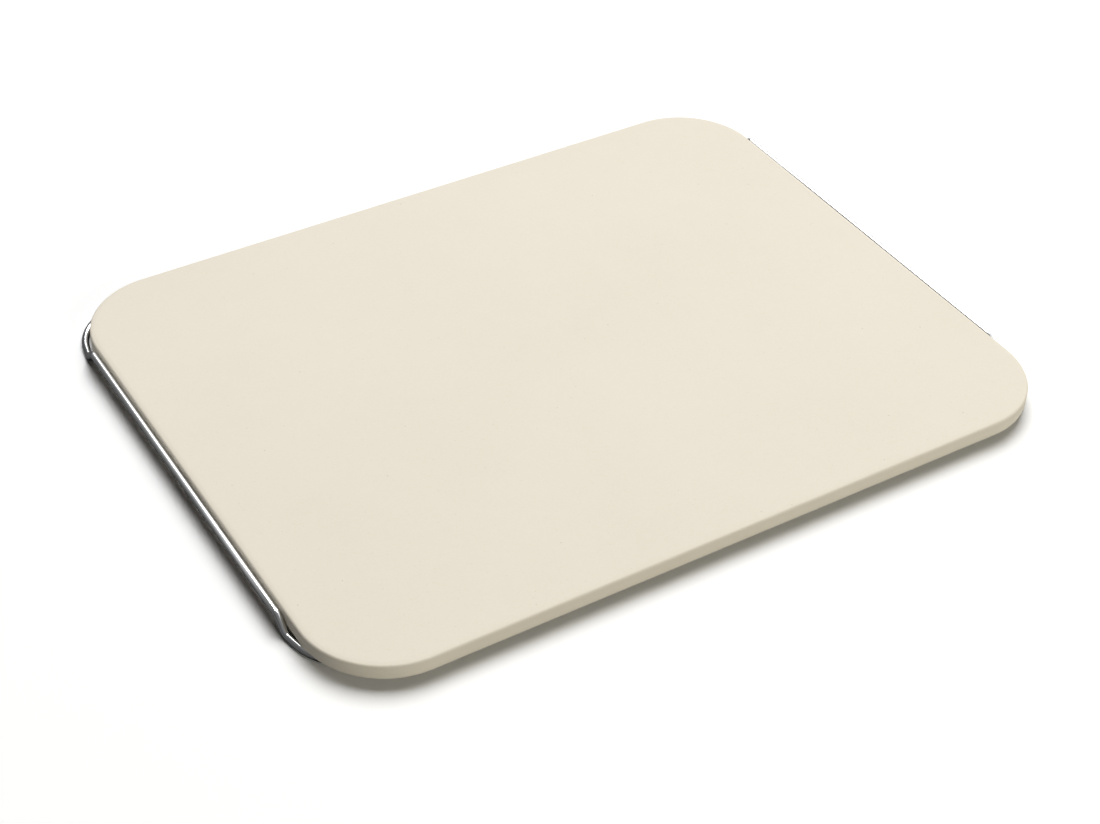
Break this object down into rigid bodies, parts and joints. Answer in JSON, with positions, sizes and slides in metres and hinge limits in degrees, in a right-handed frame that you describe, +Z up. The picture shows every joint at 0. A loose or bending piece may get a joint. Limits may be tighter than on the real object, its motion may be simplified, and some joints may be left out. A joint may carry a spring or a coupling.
{
  "type": "pizza stone",
  "caption": "Flat rectangular baking stone with rounded corners and edges, lying loose on a low chromed wire rack whose raised side wires are the handles that it is carried by.",
  "frame": {"origin": "on the worktop, under the middle of the stone", "axes": "+X to the right along the stone's long side, +Y from the front to the back, +Z up"},
  "size_m": [0.3878, 0.3, 0.0118],
  "materials": {
    "fired_stone": "unglazed, smooth and matt",
    "chromed_wire": "bright plating"
  },
  "bodies": {
    "rack": {"left_handle_wire": "chromed_wire", "right_handle_wire": "chromed_wire", "cross_wire_far_left": "chromed_wire", "cross_wire_left": "chromed_wire", "cross_wire_right": "chromed_wire", "cross_wire_far_right": "chromed_wire"},
    "stone": {"stone": "fired_stone"}
  },
  "joints": [
    {"name": "stone_lift", "type": "slide", "parent": "rack", "child": "stone", "axis": [0, 0, 1], "range_m": [0, 0.06]}
  ]
}
